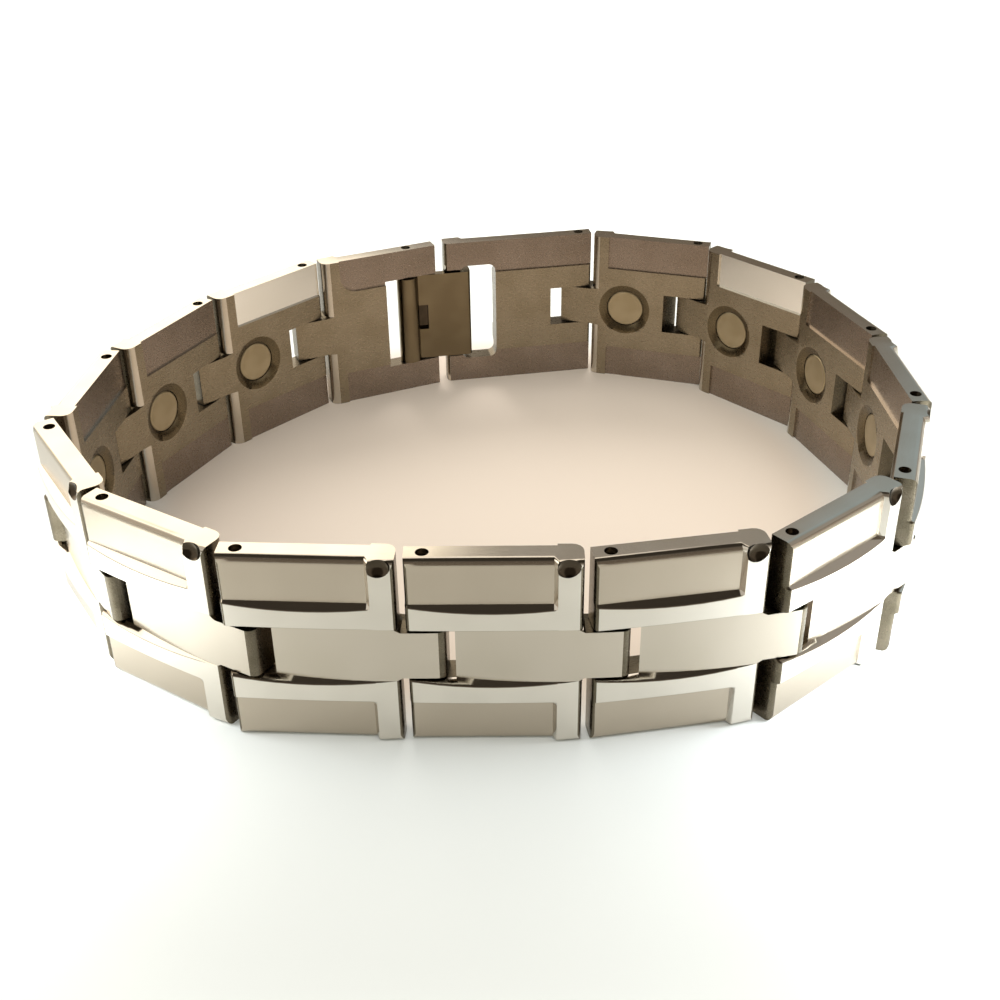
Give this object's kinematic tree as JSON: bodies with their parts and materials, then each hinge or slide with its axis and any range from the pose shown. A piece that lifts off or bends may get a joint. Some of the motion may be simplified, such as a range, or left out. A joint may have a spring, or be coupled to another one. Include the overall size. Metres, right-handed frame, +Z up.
{
  "type": "magnetic bracelet",
  "caption": "Closed steel link bracelet on its side: T-shaped links pinned together, raised polished frames, magnets on the wrist side and a fold-over lever clasp.",
  "frame": {"origin": "centre of the loop's plan bounds, in the plane of the side edges that it stands on", "axes": "+Z up along the loop's axis; +X along the front link, from its notch to its tongue; the clasp lies at the back, at +Y"},
  "size_m": [0.0713, 0.0622, 0.0155],
  "materials": {
    "link_steel": "polished frames, satin panels",
    "magnet": "satin grey",
    "pin_steel": "bare",
    "lever_steel": "satin"
  },
  "bodies": {
    "band": {"hinge_end_link": "link_steel", "link_01": "link_steel", "link_02": "link_steel", "link_03": "link_steel", "link_04": "link_steel", "link_05": "link_steel", "link_06": "link_steel", "link_07": "link_steel", "link_08": "link_steel", "link_09": "link_steel", "link_10": "link_steel", "link_11": "link_steel", "link_12": "link_steel", "link_13": "link_steel", "link_14": "link_steel", "slot_end_link": "link_steel", "magnet_01": "magnet", "magnet_02": "magnet", "magnet_03": "magnet", "magnet_04": "magnet", "magnet_05": "magnet", "magnet_06": "magnet", "magnet_07": "magnet", "magnet_08": "magnet", "magnet_09": "magnet", "magnet_10": "magnet", "magnet_11": "magnet", "magnet_12": "magnet", "magnet_13": "magnet", "magnet_14": "magnet", "hinge_pin_01": "pin_steel", "hinge_pin_02": "pin_steel", "hinge_pin_03": "pin_steel", "hinge_pin_04": "pin_steel", "hinge_pin_05": "pin_steel", "hinge_pin_06": "pin_steel", "hinge_pin_07": "pin_steel", "hinge_pin_08": "pin_steel", "hinge_pin_09": "pin_steel", "hinge_pin_10": "pin_steel", "hinge_pin_11": "pin_steel", "hinge_pin_12": "pin_steel", "hinge_pin_13": "pin_steel", "hinge_pin_14": "pin_steel", "hinge_pin_15": "pin_steel", "clasp_pin": "pin_steel"},
    "lever": {"clasp_lever": "lever_steel"}
  },
  "joints": [
    {"name": "lever_hinge", "type": "hinge", "parent": "band", "child": "lever", "pos_m": [-0.00875, 0.02557, 0.00775], "axis": [0, 0, -1], "range_deg": [0, 110]}
  ]
}
